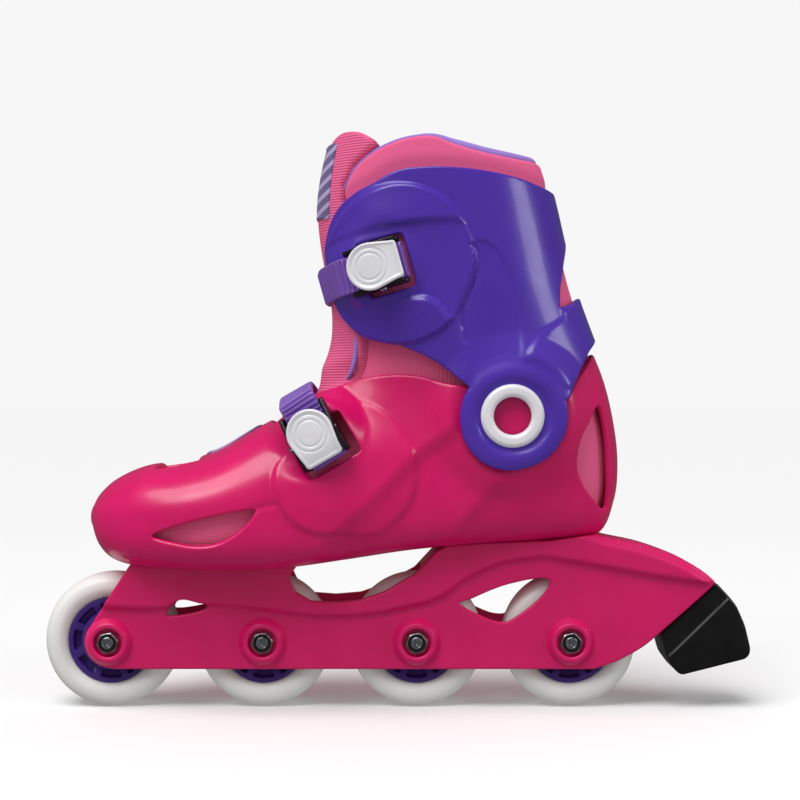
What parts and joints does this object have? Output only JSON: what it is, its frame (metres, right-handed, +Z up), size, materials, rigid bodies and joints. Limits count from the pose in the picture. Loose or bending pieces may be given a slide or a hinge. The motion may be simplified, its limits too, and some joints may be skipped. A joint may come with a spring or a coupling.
{
  "type": "inline skate",
  "caption": "Child's inline skate: hard shell boot with hinged cuff, soft liner, two ratchet buckles, in-line wheels under a moulded chassis and a heel brake.",
  "frame": {"origin": "on the floor, under the middle of the skate's bounding box in X and on the chassis's centre plane in Y", "axes": "+Z up, -X towards the toe, -Y towards the outer (lateral) side of the left foot, which carries the buckles"},
  "size_m": [0.332, 0.1024, 0.2718],
  "materials": {
    "shell_pink": "moulded, satin gloss",
    "cuff_purple": "moulded, satin gloss",
    "strap_purple": "moulded, flexible",
    "liner_pink": "knitted",
    "lining_lilac": "brushed lining",
    "lever_white": "satin",
    "buckle_black": "satin",
    "steel": "zinc plated",
    "tyre_white": "cast polyurethane",
    "hub_purple": "moulded",
    "brake_black": "moulded, satin"
  },
  "bodies": {
    "skate": {"frame": "shell_pink", "shell": "shell_pink", "liner": "liner_pink", "tongue": "liner_pink", "footbed": "lining_lilac", "frame_bolt_front": "steel", "frame_bolt_rear": "steel", "pivot_rivet_lateral": "cuff_purple", "pivot_rivet_medial": "cuff_purple", "pivot_ring_lateral": "lever_white", "pivot_ring_medial": "lever_white", "brake_pad": "brake_black", "brake_screw": "steel", "lower_buckle_base": "buckle_black", "lower_buckle_pin": "steel", "lower_buckle_spring": "steel", "lower_strap": "strap_purple", "lower_strap_rivet": "steel", "instep_badge": "strap_purple", "axle_spacer_1": "steel", "axle_bolt_1": "steel", "axle_nut_1": "steel", "axle_spacer_2": "steel", "axle_bolt_2": "steel", "axle_nut_2": "steel", "axle_spacer_3": "steel", "axle_bolt_3": "steel", "axle_nut_3": "steel", "axle_spacer_4": "steel", "axle_bolt_4": "steel", "axle_nut_4": "steel"},
    "wheel_1": {"tyre_1": "tyre_white", "hub_1": "hub_purple", "bearing_1_left": "steel", "bearing_1_right": "steel"},
    "wheel_2": {"tyre_2": "tyre_white", "hub_2": "hub_purple", "bearing_2_left": "steel", "bearing_2_right": "steel"},
    "wheel_3": {"tyre_3": "tyre_white", "hub_3": "hub_purple", "bearing_3_left": "steel", "bearing_3_right": "steel"},
    "wheel_4": {"tyre_4": "tyre_white", "hub_4": "hub_purple", "bearing_4_left": "steel", "bearing_4_right": "steel"},
    "cuff": {"cuff": "cuff_purple", "upper_buckle_base": "buckle_black", "upper_buckle_pin": "steel", "upper_buckle_spring": "steel", "upper_strap": "strap_purple", "upper_strap_rivet": "steel", "tongue_badge": "strap_purple"},
    "upper_lever": {"upper_buckle_lever": "lever_white"},
    "lower_lever": {"lower_buckle_lever": "lever_white"}
  },
  "joints": [
    {"name": "wheel_1_spin", "type": "hinge", "parent": "skate", "child": "wheel_1", "pos_m": [-0.1345, 0.00446, 0.0315], "axis": [0, 1, 0], "continuous": true},
    {"name": "wheel_2_spin", "type": "hinge", "parent": "skate", "child": "wheel_2", "pos_m": [-0.0625, 0.00446, 0.0315], "axis": [0, 1, 0], "continuous": true},
    {"name": "wheel_3_spin", "type": "hinge", "parent": "skate", "child": "wheel_3", "pos_m": [0.0095, 0.00446, 0.0315], "axis": [0, 1, 0], "continuous": true},
    {"name": "wheel_4_spin", "type": "hinge", "parent": "skate", "child": "wheel_4", "pos_m": [0.0815, 0.00446, 0.0315], "axis": [0, 1, 0], "continuous": true},
    {"name": "cuff_flex", "type": "hinge", "parent": "skate", "child": "cuff", "pos_m": [0.0525, 0.00446, 0.1375], "axis": [0, 1, 0], "range_deg": [-8, 2], "stiffness_Nm_per_rad": 4, "deforming": ["liner", "tongue"]},
    {"name": "upper_lever_press", "type": "hinge", "parent": "cuff", "child": "upper_lever", "pos_m": [-0.00867, -0.04255, 0.20512], "axis": [0.2683, -0.0669, -0.961], "range_deg": [0, 10], "stiffness_Nm_per_rad": 0.05},
    {"name": "lower_lever_press", "type": "hinge", "parent": "skate", "child": "lower_lever", "pos_m": [-0.03668, -0.04476, 0.12764], "axis": [-0.8561, 0.151, -0.4943], "range_deg": [0, 10], "stiffness_Nm_per_rad": 0.05}
  ]
}
